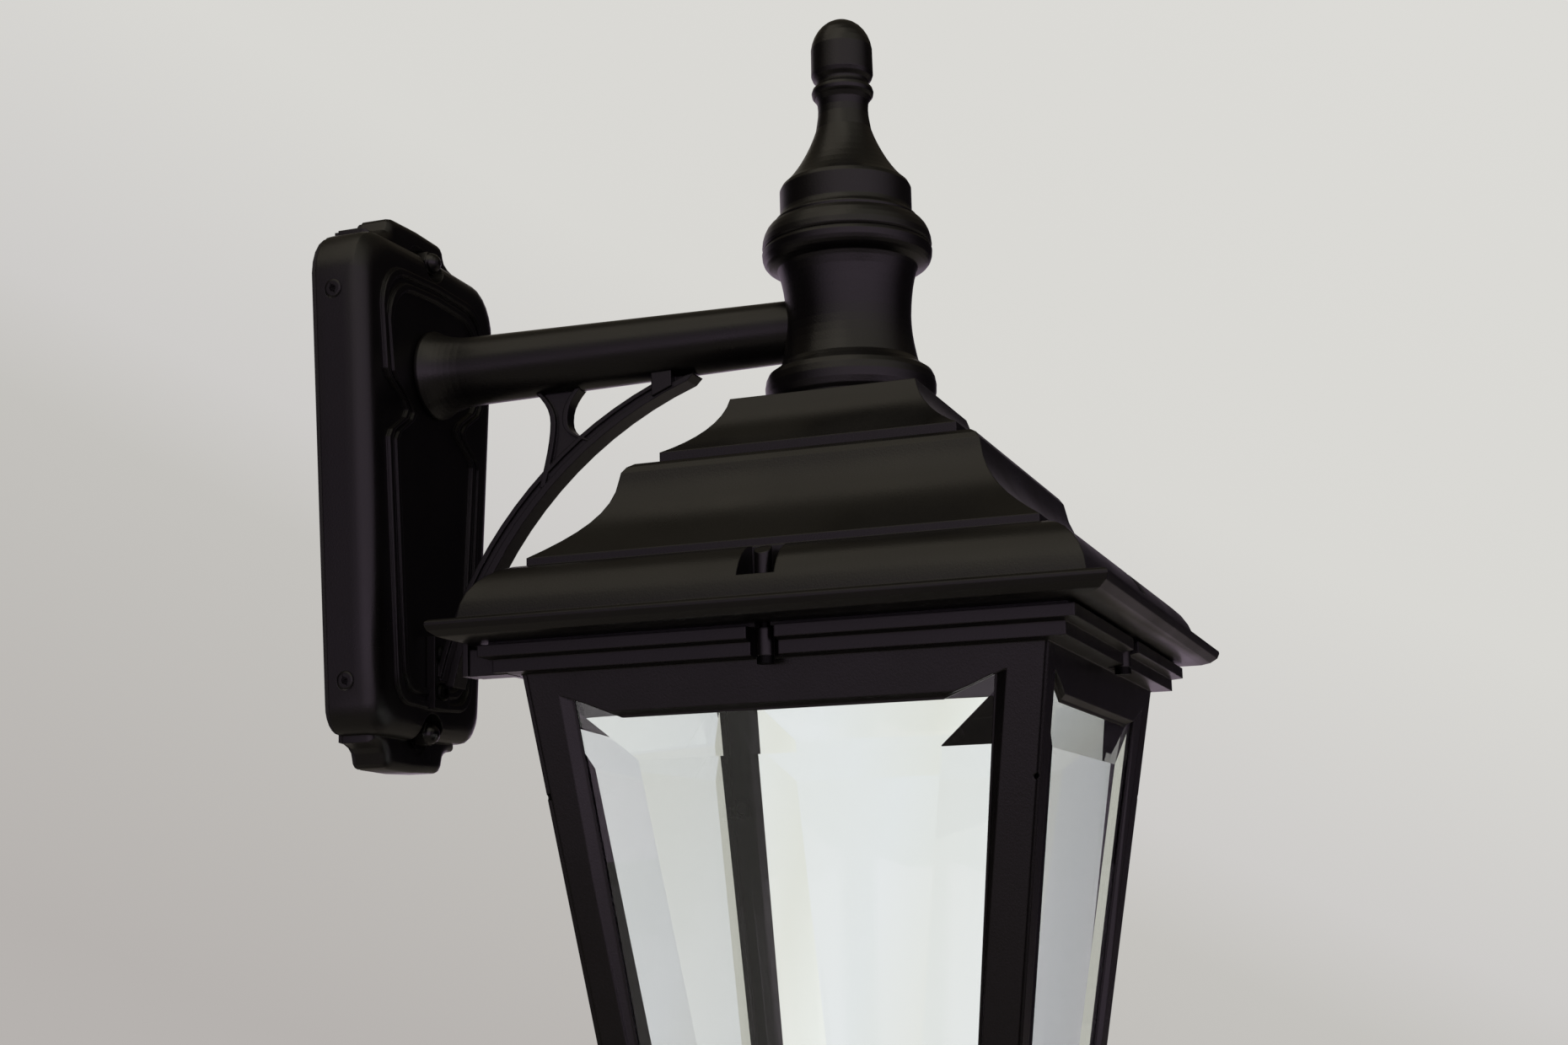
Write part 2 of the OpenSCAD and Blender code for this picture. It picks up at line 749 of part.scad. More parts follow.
function roof_tiers() = concat(
    curve([plateau_half, roof_h], [plateau_half + 2, roof_h - 9.3], [tier1_half - 10, tier1_z + 5.6], [tier1_half, tier1_z], 8),
    [[tier1_half, tier1_z - tier1_step]],
    arc(tier1_half + 4.2, tier1_z - 11.5, 7.2, 7, 90, 0, 4),
    [for (i = [1 : 8]) curve([tier1_half + 11.4, tier1_z - 11.5], [tier1_half + 13, tier1_z - 24.1],
        [tier2_half - 13.5, tier2_z + 9.4], [tier2_half, tier2_z], 8)[i]],
    [[tier2_half, tier2_z - tier2_step]],
    [for (i = [1 : 7]) curve([tier2_half, tier2_z - tier2_step], [tier2_half + 8.5, tier2_z - tier2_step - 0.4],
        [tier3_half - 0.7, tier3_z + 11.6], [tier3_half, tier3_z], 7)[i]]);

module roof() {
    outer = concat([[0, roof_h]], roof_tiers(),
        [[lip_half - 1.2, 1.0], [lip_half - 0.1, 0.2], [lip_half, -0.8], [lip_half - 0.8, -2.8],
            [lip_half - 3.4, -4.8], [lip_half - 6.8, -5.9], [lip_half - 10, -lip_t], [0, -lip_t]]);
    inner = concat([[0, roof_h - cast_wall]], shifted(roof_tiers(), [-cast_wall, -cast_wall]),
        [[tier3_half - cast_wall, cast_wall - lip_t], [0, cast_wall - lip_t]]);
    color(black)
        at_lantern()
            difference() {
                union() {
                    difference() {
                        mitred(outer);
                        mitred(inner);
                        translate([0, 0, -lip_t])
                            cube([2 * opening_half, 2 * opening_half, 20], center = true);
                    }
                    intersection() {
                        mitred(outer);
                        four_sides()
                            translate([pocket_x + 2, 0, (pocket_low + pocket_top) / 2])
                                cube([20, pocket_w + 6, pocket_top - pocket_low + 8], center = true);
                    }
                    lug_straps();
                }
                four_sides()
                    difference() {
                        translate([pocket_x + 9, 0, (pocket_low + pocket_top) / 2])
                            cube([22, pocket_w, pocket_top - pocket_low], center = true);
                        translate([boss_x, 0, 0])
                            cylinder(r = boss_r, h = 60);
                    }
                four_sides()
                    translate([boss_x, 0, -lip_t - 1])
                        cylinder(r = roof_screw_r, h = lip_t + 18);
                translate([0, 0, roof_h - 10])
                    cylinder(r = neck_bore_r, h = 20);
                for (s = [-1, 1])
                    translate([s * neck_pitch / 2, 0, roof_h - 10])
                        cylinder(r = neck_screw_r + slip, h = 20);
            }
}

pocket_w = 13.5;
pocket_low = 9.5;
pocket_top = tier2_z - tier2_step;
boss_r = 3;
boss_x = lip_half - 18.8;
pocket_x = boss_x - 5.2;
roof_screw_r = 1.8;
lug_w = 10;
lug_x = lip_half - 26;

// Straps under the rear eaves that hook behind the frame's corner blocks
module lug_straps() {
    for (s = [-1, 1])
        translate([s * lug_x - lug_w / 2, frame_top_half + lug_block + slip + 0.6, -lip_t - 11])
            cube([lug_w, 2.2, 12]);
}

module roof_seal() {
    color(rubber)
        at_lantern()
            translate([0, 0, -lip_t - seal_t])
                difference() {
                    translate([0, 0, seal_t / 2])
                        cube([2 * opening_half + 13, 2 * opening_half + 13, seal_t], center = true);
                    cube([2 * opening_half, 2 * opening_half, 10], center = true);
                    four_sides()
                        translate([boss_x, 0, -1])
                            cylinder(r = boss_r + 0.6, h = 5);
                }
}

module neck_screws() {
    color(zinc)
        at_lantern()
            for (s = [-1, 1])
                translate([s * neck_pitch / 2, 0, 0])
                    union() {
                        translate([0, 0, roof_h - cast_wall - holder_plate_t - 1])
                            cylinder(r = neck_screw_r - 0.02, h = 18);
                        translate([0, 0, roof_h - cast_wall - holder_plate_t - slip - 3])
                            cylinder(r = 4.5, h = 3);
                    }
}

module roof_screws() {
    low = frame_top - cornice_h - slip;
    color(zinc)
        at_lantern()
            four_sides()
                translate([boss_x, 0, 0])
                    union() {
                        translate([0, 0, low - 1])
                            cylinder(r = roof_screw_r - 0.02, h = 26);
                        translate([0, 0, low - 2.4])
                            cylinder(r = 3, h = 2.4);
                    }
}

// Lantern frame: cornice, four posts, rails and an open foot, cast in one piece

frame_top = -lip_t - seal_t;
frame_top_half = lip_half - 13.6;
cornice_h = 10;
cornice_mid = 5;
cornice_low_half = frame_top_half - 4;
lug_block = 7;
frame_low = frame_top - frame_h;
body_top = frame_top - cornice_h;
function body_at(z) = body_half + taper * (z - body_top);
window_low = frame_low + rail_h;
// The window's top corners are cut: their height, and their run along the top
corner_drop = window_drop - 6;
corner_run = 18;
splay_d = 2.1;
splay_land = 0.8;
// The window's outline in a leaning face, drawn in from the posts; depth is behind the face
function splay_at(z) = splay_low_w + (splay_top_w - splay_low_w) * (z - window_low) / (-corner_drop - window_low);
function window_ring(share, grow, depth) = let (
        side = function(z) body_at(z) - post_w - share * splay_at(z) + grow,
        top = -corner_drop - share * splay_land + grow, edge = -window_drop - share * 2 + grow, low = window_low + share * 2 - grow)
    [for (p = [[side(top), top], [side(low), low], [-side(low), low], [-side(top), top],
        [-(side(top) - corner_run), edge], [side(top) - corner_run, edge]]) [p[0], body_at(p[1]) - depth, p[1]]];
module window_cutter() {
    loft([window_ring(1, 0, -3), window_ring(1, 0, cast_wall + 6)]);
    loft([window_ring(0, 1, -1.2), window_ring(1, splay_land, splay_d)]);
}

module lantern_frame() {
    outer = [[0, frame_top], [frame_top_half, frame_top], [frame_top_half, frame_top - cornice_mid + 0.8],
        [cornice_low_half, frame_top - cornice_mid], [cornice_low_half, frame_top - cornice_h + 0.4],
        [body_half, body_top], [body_at(frame_low + 6), frame_low + 6], [body_at(frame_low) + 3.2, frame_low + 4.5],
        [body_at(frame_low) + 3.2, frame_low], [0, frame_low]];
    inner_top = body_at(frame_top) - cast_wall;
    inner = [[0, frame_top + 1], [inner_top, frame_top + 1], [body_at(frame_low) - cast_wall, frame_low - 1], [0, frame_low - 1]];
    color(black)
        at_lantern()
            difference() {
                union() {
                    difference() {
                        union() {
                            mitred(outer);
                            for (s = [-1, 1])
                                translate([s * lug_x - lug_w / 2, frame_top_half - 8, frame_top - cornice_h])
                                    cube([lug_w, lug_block + 8, cornice_h - 0.5]);
                        }
                        mitred(inner);
                        four_sides()
                            translate([frame_top_half, 0, frame_top - cornice_h / 2])
                                cube([2 * (frame_top_half - body_half - 1.5), notch_w, cornice_h + 1], center = true);
                    }
                    four_sides()
                        translate([boss_x, 0, body_top])
                            cylinder(r = boss_r, h = cornice_h - 0.6);
                    four_sides()
                        translate([(boss_x + body_half) / 2 - 1, 0, body_top + cornice_h / 2 - 0.3])
                            cube([boss_x - body_half + 2, 2.4, cornice_h - 0.6], center = true);
                    corner_bosses();
                    foot_bosses();
                }
                four_sides()
                    window_cutter();
                corner_cutters();
                four_sides()
                    translate([boss_x, 0, body_top - 1])
                        cylinder(r = roof_screw_r + slip, h = cornice_h + 2);
                clip_places(0)
                    cylinder(r = clip_screw_r, h = 12, center = true);
                base_screw_places()
                    cylinder(r = base_screw_r, h = 12);
            }
}

notch_w = 10;
post_corner_r = 2.2;
// What is cut from the four leaning outer corners to round them
module corner_cutters() {
    top = body_top - 0.3;
    low = frame_low + 6.5;
    four_sides()
        translate([body_at(top), body_at(top), top])
            rotate([0, 0, 45])
                rotate([0, clip_tilt, 0])
                    rotate([180, 0, 0])
                        rotate([0, 0, 45])
                            linear_extrude((top - low) / cos(clip_tilt))
                                translate([-post_corner_r, -post_corner_r])
                                    difference() {
                                        square(post_corner_r + 1);
                                        circle(r = post_corner_r);
                                    }
}

clip_screw_r = 1.2;
clip_heights = [-60, -172];
clip_in = glass_edge_t + 1.3;
clip_tilt = atan(taper * sqrt(2));

// Places of the glass clips: each inner corner, at two heights, with z pointing into the corner
module clip_places(inward) {
    for (h = clip_heights, a = [45 : 90 : 315])
        rotate([0, 0, a])
            translate([(body_at(h) - cast_wall) * sqrt(2) - inward, 0, h])
                rotate([0, 90 + clip_tilt, 0])
                    children();
}

// Small pads in the corners of the posts for the clip screws
module corner_bosses() {
    intersection() {
        clip_places(clip_in * sqrt(2))
            cylinder(r = 2.2, h = clip_in * sqrt(2) + 2);
        inner_top = body_at(frame_top) - cast_wall + 1;
        mitred([[0, frame_top], [inner_top, frame_top], [body_at(frame_low) - cast_wall + 1, frame_low], [0, frame_low]]);
    }
}

foot_boss_r = 4;
base_screw_r = 1.6;
module base_screw_places() {
    inset = body_at(frame_low) - cast_wall - 4.6;
    for (sx = [-1, 1], sy = [-1, 1])
        translate([sx * inset, sy * inset, frame_low - 1])
            children();
}

module foot_bosses() {
    inset = body_at(frame_low) - cast_wall - 4.6;
    for (sx = [-1, 1], sy = [-1, 1])
        translate([sx * inset, sy * inset, frame_low])
            union() {
                cylinder(r = foot_boss_r, h = 8);
                translate([sx > 0 ? 0 : -4.8, sy > 0 ? 0 : -4.8, 0])
                    cube([4.8, 4.8, 8]);
            }
}

// Glass: a flat tapered pane with its inner edge bevelled, leaning with the frame

pane_top = -22.5;
pane_low = frame_low + 10;
pane_side = cast_wall + glass_gap + glass_t + 0.8;

module pane() {
    top_half = body_at(pane_top) - pane_side;
    low_half = body_at(pane_low) - pane_side;
    slope_h = (pane_top - pane_low) / cos(lean);
    function trapezoid(inset, d) = [[-(top_half - inset), -d, -inset], [top_half - inset, -d, -inset],
        [low_half - inset, -d, -slope_h + inset], [-(low_half - inset), -d, -slope_h + inset]];
    at_lantern()
        translate([0, body_at(pane_top) - (cast_wall + glass_gap) / cos(lean), pane_top])
            rotate([-lean, 0, 0])
                loft([trapezoid(0, 0), trapezoid(0, glass_edge_t), trapezoid(bevel_w, glass_t)]);
}

module turned_pane(a) {
    color([0.85, 0.9, 0.9, 0.4])
        translate([0, -reach, 0])
            rotate([0, 0, a])
                translate([0, reach, 0])
                    pane();
}

module pane_rear() { turned_pane(0); }
module pane_left() { turned_pane(90); }
module pane_front() { turned_pane(180); }
module pane_right() { turned_pane(270); }

// Angle clips over the panes' edges, hidden behind the posts
module glass_clips() {
    leg = post_w - cast_wall - clip_in - slip;
    color(zinc)
        at_lantern()
            for (h = clip_heights, a = [0 : 90 : 270])
                rotate([0, 0, a])
                    clip(body_at(h) - cast_wall - clip_in - slip, h, leg);
}

module clip(c, h, leg) {
    difference() {
        translate([c, c, h])
            rotate([0, 0, 45])
                rotate([0, clip_tilt, 0])
                    rotate([0, 0, -45])
                        translate([0, 0, -4])
                            linear_extrude(8)
                                polygon([[0, 0], [-leg, 0], [-leg, -1], [-1.8, -1], [-1, -1.8], [-1, -leg], [0, -leg]]);
        translate([c, c, h])
            rotate([0, 0, 45])
                rotate([0, 90 + clip_tilt, 0])
                    cylinder(r = clip_screw_r + 0.2, h = 12, center = true);
    }
}

module clip_screws() {
    color(zinc)
        at_lantern()
            clip_places((clip_in + slip) * sqrt(2))
                union() {
                    translate([0, 0, -3])
                        cylinder(r = clip_screw_r - 0.02, h = 7.5);
                    translate([0, 0, -4.2])
                        cylinder(r = 2.4, h = 2);
                }
}

// Base pan under the frame
module base_pan() {
    rim = body_at(frame_low) + 3.2;
    top = frame_low - 0.2;
    color(black)
        at_lantern()
            difference() {
                mitred([[0, top], [rim, top], [rim, top - 3], [rim - 6, top - 4], [rim - 10, top - 7], [rim - 22, top - 9.5], [0, top - 9.5]]);
                mitred([[0, top + 1], [rim - 20, top + 1], [rim - 24, top - 6.5], [0, top - 6.5]]);
                base_screw_places()
                    translate([0, 0, -12])
                        cylinder(r = base_screw_r + slip, h = 14);
                base_screw_places()
                    translate([0, 0, -12])
                        cylinder(r = 3.4, h = 8);
                translate([0, 0, top - 12])
                    cylinder(r = 2.5, h = 14);
            }
}

module base_screws() {
    color(zinc)
        at_lantern()
            base_screw_places()
                union() {
                    translate([0, 0, -5])
                        cylinder(r = base_screw_r - 0.02, h = 12);
                    translate([0, 0, -6.1])
                        cylinder(r = 3, h = 2);
                }
}

// Lampholder, mouth down under the roof

holder_plate_t = 1.5;
holder_top = mouth_z + holder_l;
well_top = mouth_z + lamp_thread_l + 6.5;
nipple_r = 4.9;
bracket_half = 27;

// A strap folded down from under the roof to carry the holder
module holder_bracket() {
    top = roof_h - cast_wall;
    low = holder_top + slip;
    color(zinc)
        at_lantern()
            difference() {
                rotate([90, 0, 0])
                    linear_extrude(24, center = true)
                        difference() {
                            translate([-bracket_half, low])
                                square([2 * bracket_half, top - low]);
                            translate([-bracket_half + holder_plate_t, low + holder_plate_t])
                                square([2 * bracket_half - 2 * holder_plate_t, top - low - 2 * holder_plate_t]);
                        }
                translate([0, 0, low - 1])
                    cylinder(r = nipple_r + slip, h = 5);
                translate([0, 0, top - 4])
                    cylinder(r = neck_bore_r, h = 8);
                for (s = [-1, 1])
                    translate([s * neck_pitch / 2, 0, top - 4])
                        cylinder(r = neck_screw_r + slip, h = 8);
            }
}

module holder_nipple() {
    color(zinc)
        at_lantern()
            difference() {
                translate([0, 0, holder_top - 8])
                    cylinder(r = nipple_r, h = 8 + holder_plate_t + 6);
                translate([0, 0, holder_top - 9])
                    cylinder(r = 3.4, h = 30);
            }
}

module nipple_nuts() {
    color(zinc)
        at_lantern()
            translate([0, 0, holder_top + slip + holder_plate_t + slip])
                difference() {
                    cylinder(r = 8, h = 3, $fn = 6);
                    translate([0, 0, -1])
                        cylinder(r = nipple_r + 0.02, h = 6);
                }
}

module lampholder() {
    shell_out = lamp_r + 1;
    color("#ece9e0")
        at_lantern()
            rotate_extrude()
                polygon([[shell_out, mouth_z], [holder_r - 2, mouth_z], [holder_r, mouth_z + 2],
                    [holder_r, mouth_z + holder_l * 0.5], [holder_r - 2.5, mouth_z + holder_l * 0.6],
                    [holder_r - 2.5, holder_top - 10], [holder_r - 8, holder_top], [nipple_r + 0.02, holder_top],
                    [nipple_r + 0.02, holder_top - 8.2], [3, holder_top - 8.2], [3, well_top],
                    [shell_out, well_top]]);
}

module lamp_shell() {
    color(brass)
        at_lantern()
            translate([0, 0, mouth_z + 2])
                difference() {
                    cylinder(r = lamp_r + 1 - 0.02, h = lamp_thread_l);
                    translate([0, 0, -1])
                        cylinder(r = lamp_r, h = lamp_thread_l + 2);
                }
}

module lamp_contact() {
    color(brass)
        at_lantern()
            union() {
                translate([0, 0, well_top - 3])
                    cylinder(r = 4, h = 3 - 0.02);
                translate([0, 0, well_top - 3.8])
                    cylinder(r = 2.5, h = 2);
            }
}

// Inner lead from the terminal block through the arm and the neck to the holder

lead_r = 2;
lead_sides = 8;
lead_bend = 9;
lead_top = arm_z;
function corner(a, b, c, n) = [for (i = [0 : n]) let (t = i / n)
    (1 - t) * (1 - t) * a + 2 * t * (1 - t) * b + t * t * c];
lead_down = eaves_z + holder_top + 8;
block_exit = block_z + block_h / 2 + 0.3;
lead_depth = strap_t + 7;
lead_back = strap_t + lead_r + 0.3;
lead_path = concat(
    [[0, -lead_depth, block_exit], [0, -lead_depth, block_exit + 6]],
    corner([0, -lead_back, lead_top - 6], [0, -lead_back, lead_top], [0, -lead_back - 5, lead_top], 8),
    [for (i = [1 : 8]) [0, -lead_back - 5 - (reach - lead_back - 5 - lead_bend) * i / 9, lead_top]],
    corner([0, -reach + lead_bend, lead_top], [0, -reach, lead_top], [0, -reach, lead_top - lead_bend], 8),
    [for (i = [1 : 6]) [0, -reach, lead_top - lead_bend + (lead_down - lead_top + lead_bend) * i / 6]]);

module inner_lead() {
    n = len(lead_path);
    function along(i) = let (a = lead_path[max(i - 1, 0)], b = lead_path[min(i + 1, n - 1)]) (b - a) / norm(b - a);
    rings = [for (i = [0 : n - 1]) let (t = along(i), u = [1, 0, 0], v = cross(t, u))
        [for (k = [0 : lead_sides - 1]) let (a = -360 * k / lead_sides)
            lead_path[i] + lead_r * (cos(a) * u + sin(a) * v)]];
    color("#e6e2da")
        loft(rings);
}

wall_bracket();
cover_studs();
wall_gasket();
wall_plate();
cover_washers();
dome_nuts();
side_plugs();
arm();
arm_washer();
arm_nut();
brace();
brace_screws();
neck();
grub_screw();
neck_gasket();
finial();
finial_stud();
roof();
roof_seal();
neck_screws();
roof_screws();
lantern_frame();
pane_front();
pane_rear();
pane_left();
pane_right();
glass_clips();
clip_screws();
base_pan();
base_screws();
holder_bracket();
holder_nipple();
nipple_nuts();
lampholder();
lamp_shell();
lamp_contact();
terminal_block();
terminal_screws();
earth_screw();
inner_lead();
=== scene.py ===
# %% [markdown]
# # An outdoor wall light in black powder coat
# A square lantern hangs from a level arm on a tall wall plate. The shapes come from the
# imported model, in metres: the wall is the plane y = 0, the light reaches out along -y,
# and z is up. This notebook gives each casting its smooth curves and its coating, makes
# the small pieces that need more than a turned or extruded solid, and sets the studio.

# %% Load the frame
import json
import math

import bmesh
import bpy
from mathutils import Matrix, Vector
from mathutils.bvhtree import BVHTree


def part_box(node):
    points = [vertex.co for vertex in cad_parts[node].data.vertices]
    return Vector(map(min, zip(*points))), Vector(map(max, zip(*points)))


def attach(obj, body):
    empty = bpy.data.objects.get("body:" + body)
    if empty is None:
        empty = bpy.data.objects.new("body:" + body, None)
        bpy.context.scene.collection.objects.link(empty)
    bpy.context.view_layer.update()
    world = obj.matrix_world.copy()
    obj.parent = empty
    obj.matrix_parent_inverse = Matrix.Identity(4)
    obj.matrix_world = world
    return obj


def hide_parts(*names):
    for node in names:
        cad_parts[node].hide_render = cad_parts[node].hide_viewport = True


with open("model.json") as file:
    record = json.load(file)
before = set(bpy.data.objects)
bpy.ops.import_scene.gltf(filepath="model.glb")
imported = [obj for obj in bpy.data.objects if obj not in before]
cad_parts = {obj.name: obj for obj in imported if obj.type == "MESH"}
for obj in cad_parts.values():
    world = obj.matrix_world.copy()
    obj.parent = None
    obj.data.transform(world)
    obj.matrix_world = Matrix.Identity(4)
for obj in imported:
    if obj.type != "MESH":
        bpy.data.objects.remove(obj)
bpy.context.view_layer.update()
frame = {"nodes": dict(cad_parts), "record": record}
nodes = frame["nodes"]
scene = bpy.context.scene
MM = 0.001

# %% [markdown]
# ## Sizes the scene reads from the frame
# The lantern's axis is where the finial stands, and the eaves are the roof's widest
# place. They could be typed in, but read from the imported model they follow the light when
# its reach or its roof changes, and the lamp above stays pointed at the lantern.

# %% Places
finial_low, finial_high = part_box("finial")
roof_low, roof_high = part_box("roof")
axis_x = (finial_low.x + finial_high.x) / 2
axis_y = (finial_low.y + finial_high.y) / 2
eaves_half = (roof_high.x - roof_low.x) / 2
print("lantern axis:", round(axis_x, 4), round(axis_y, 4), "eaves half width:", round(eaves_half, 4))

# %% [markdown]
# ## The camera
# The photograph was taken from the left of the light, as one faces the wall, and from
# below the eaves, looking slightly up. A camera could be turned by eye until it looks
# right. This one was fitted instead to the edges of the square roof and of the upright
# plate. The fit puts the lens's axis below the middle of the picture, and a small shift
# of the lens does the same here.

# %% Camera
CAMERA_AT = Vector((-722.1, -443.5, -170.7)) * MM
CAMERA_YAW = math.radians(69.96)
CAMERA_PITCH = math.radians(8.44)
CAMERA_ROLL = math.radians(1.32)
SENSOR_MM = 36.0
PHOTO_WIDTH, PHOTO_HEIGHT = 1860, 1240
FOCAL_PX = 2363
LENS_AXIS_PX = 713

camera_data = bpy.data.cameras.new("camera")
camera = bpy.data.objects.new("camera", camera_data)
scene.collection.objects.link(camera)
scene.camera = camera
camera_data.sensor_width = SENSOR_MM
camera_data.lens = FOCAL_PX / PHOTO_WIDTH * SENSOR_MM
camera_data.shift_y = (LENS_AXIS_PX - PHOTO_HEIGHT / 2) / PHOTO_WIDTH
camera_data.clip_start = 10 * MM
forward = Vector((
    math.sin(CAMERA_YAW) * math.cos(CAMERA_PITCH),
    math.cos(CAMERA_YAW) * math.cos(CAMERA_PITCH),
    math.sin(CAMERA_PITCH),
))
camera.matrix_world = (
    Matrix.Translation(CAMERA_AT)
    @ forward.to_track_quat("-Z", "Y").to_matrix().to_4x4()
    @ Matrix.Rotation(-CAMERA_ROLL, 4, "Z")
)
print("lens:", round(camera_data.lens, 2), "shift:", round(camera_data.shift_y, 3))

# %% [markdown]
# ## Helpers for materials
# Colours are written as sRGB hex values, as a paint chart gives them, and one function
# turns them to the linear values that the renderer needs. Materials could be wired by
# hand in the shader editor. Here one small function adds any node with its settings and
# its links, so that each finish below reads as a short list of what makes it up.

# %% Colour and node helpers
def linear(hex_colour):
    """sRGB hex to linear RGBA, by the formula of the sRGB standard."""
    channels = [int(hex_colour[i:i + 2], 16) / 255 for i in (1, 3, 5)]
    return [c / 12.92 if c <= 0.04045 else ((c + 0.055) / 1.055) ** 2.4 for c in channels] + [1.0]


def add(tree, kind, settings=None, **inputs):
    """Adds a node. An input is named i and its number, or by its own name with underscores.
    Its value is a number, a colour, or another node's output socket."""
    node = tree.nodes.new(kind)
    for name, value in (settings or {}).items():
        setattr(node, name, value)
    for name, value in inputs.items():
        numbered = name[0] == "i" and name[1:].isdigit()
        socket = node.inputs[int(name[1:]) if numbered else name.replace("_", " ")]
        if isinstance(value, bpy.types.NodeSocket):
            tree.links.new(value, socket)
        else:
            socket.default_value = value
    return node


def new_material(name):
    """A material and its empty node tree."""
    material = bpy.data.materials.new(name)
    material.use_nodes = True
    material.node_tree.nodes.clear()
    return material, material.node_tree


def surface(tree, **inputs):
    """Closes a tree with the principled shader and the output."""
    shader = add(tree, "ShaderNodeBsdfPrincipled", **inputs)
    add(tree, "ShaderNodeOutputMaterial", i0=shader.outputs[0])

# %% [markdown]
# ## Black polyester powder coat on die-cast aluminium
# Powder is sprayed dry and baked, so the coat is satin, deep black and covered in a very
# fine grain. The real grain is a few tenths of a millimetre across; here it is drawn at
# 0.8 mm, so that it still shows in the render. Powder also builds up and rounds every cast
# edge. That could be cut into each mesh by a bevel, but the Bevel node draws it from a
# real radius and leaves the castings' points alone. A slow change of tone and roughness
# keeps large faces from being dead flat.

# %% Powder coat
NOISE_LOW, NOISE_HIGH = 0.3, 0.7  # nearly all of a noise lies between these values
COAT_GRAIN = 0.8 * MM
COAT_GRAIN_HEIGHT = 0.1 * MM
COAT_CLOUD = 30 * MM
EDGE_BUILD = 0.7 * MM


def powder_coat(name, low, high, rough, speckle):
    """A coat between two tones, with its range of roughness and how much its grain shades it."""
    material, tree = new_material(name)
    place = add(tree, "ShaderNodeTexCoord").outputs["Object"]
    grain = add(tree, "ShaderNodeTexNoise", Vector=place, Scale=1 / COAT_GRAIN, Detail=2.0, Roughness=0.6)
    cloud = add(tree, "ShaderNodeTexNoise", Vector=place, Scale=1 / COAT_CLOUD, Detail=3.0, Roughness=0.5)
    tone = add(tree, "ShaderNodeMix", {"data_type": "RGBA"},
               i0=cloud.outputs[0], i6=linear(low), i7=linear(high))
    speck = add(tree, "ShaderNodeMapRange",
                i0=grain.outputs[0], i1=NOISE_LOW, i2=NOISE_HIGH, i3=speckle[0], i4=speckle[1])
    shade = add(tree, "ShaderNodeMix", {"data_type": "RGBA", "blend_type": "MULTIPLY"},
                i0=1.0, i6=tone.outputs[2], i7=speck.outputs[0])
    gloss = add(tree, "ShaderNodeMapRange",
                i0=cloud.outputs[0], i1=NOISE_LOW, i2=NOISE_HIGH, i3=rough[0], i4=rough[1])
    edge = add(tree, "ShaderNodeBevel", {"samples": 4}, Radius=EDGE_BUILD)
    bump = add(tree, "ShaderNodeBump", Strength=0.4, Distance=COAT_GRAIN_HEIGHT,
               Height=grain.outputs[0], Normal=edge.outputs[0])
    surface(tree, Base_Color=shade.outputs[2], Roughness=gloss.outputs[0], Normal=bump.outputs[0], IOR=1.5)
    return material


black_coat = powder_coat("black_powder_coat", "#070607", "#0E0D0D", rough=(0.27, 0.36), speckle=(0.8, 1.2))
print("coat:", black_coat.name, "edge radius mm:", round(EDGE_BUILD / MM, 2))

# %% [markdown]
# ## Clear float glass with a ground bevel
# The panes are float glass, colourless from the front, with a wide bevel ground and
# polished round the inner edge. A see-through sheet would be quicker to render, but a
# bevel bends what is behind it, so the glass has refraction here and real thickness in
# its mesh. To the eye it is all in the slanted strips along each frame.

# %% Glass
glass, tree = new_material("bevelled_float_glass")
surface(tree, Base_Color=linear("#FBFDFC"), Roughness=0.0, IOR=1.52, Transmission_Weight=1.0)
print("glass:", glass.name)

# %% [markdown]
# ## The small finishes
# Zinc-plated steel for the strap, the studs and the inner screws, blackened steel for the
# screws, clips and washers that show beside the coat, rubber for the seals, porcelain for
# the lampholder, brass for its contacts and the earth screw, moulded urea for the
# terminals and a silicone sheath for the lead. Each could have its own network, but at
# this size one scale of grain is all that the eye can find, so one function makes them
# all. A grain that is finer than a millimetre or so is drawn coarser, so that it shows.

# %% Zinc, blackened steel, rubber, porcelain, brass, urea and silicone
def fine_finish(name, low, high, grain, rough, height=0.02 * MM, metallic=0.0, **more):
    """A finish with one scale of grain, which moves its tone, its roughness and its bump."""
    material, tree = new_material(name)
    place = add(tree, "ShaderNodeTexCoord").outputs["Object"]
    noise = add(tree, "ShaderNodeTexNoise", Vector=place, Scale=1 / grain, Detail=3.0)
    tone = add(tree, "ShaderNodeMix", {"data_type": "RGBA"},
               i0=noise.outputs[0], i6=linear(low), i7=linear(high))
    gloss = add(tree, "ShaderNodeMapRange",
                i0=noise.outputs[0], i1=NOISE_LOW, i2=NOISE_HIGH, i3=rough[0], i4=rough[1])
    bump = add(tree, "ShaderNodeBump", Strength=0.3, Distance=height, Height=noise.outputs[0])
    surface(tree, Base_Color=tone.outputs[2], Metallic=metallic, Roughness=gloss.outputs[0],
            Normal=bump.outputs[0], **more)
    return material


# Plated in a bath: a light grey metal, slightly cloudy
zinc = fine_finish("zinc_plated_steel", "#9EA2A3", "#C4C8C8", 1.5 * MM, (0.28, 0.42), metallic=1.0)
# Blackened in hot salts: nearly black, with the dull sheen of a metal
blackened = fine_finish("blackened_steel", "#131313", "#1D1D1D", 1.0 * MM, (0.35, 0.5), metallic=1.0)
# Moulded and unpolished: dark, with hardly any shine
rubber = fine_finish("epdm_rubber", "#1C1C1E", "#29292B", 0.8 * MM, (0.65, 0.8), height=0.05 * MM)
# Glazed and fired: warm white under a clear gloss
porcelain = fine_finish("glazed_porcelain", "#E9E5DA", "#F2EFE6", 6 * MM, (0.12, 0.2), IOR=1.5)
# Drawn from sheet and left bare: yellow, with soft highlights on its curves
brass = fine_finish("drawn_brass", "#B8934A", "#CFAE68", 1.2 * MM, (0.25, 0.38), metallic=1.0)
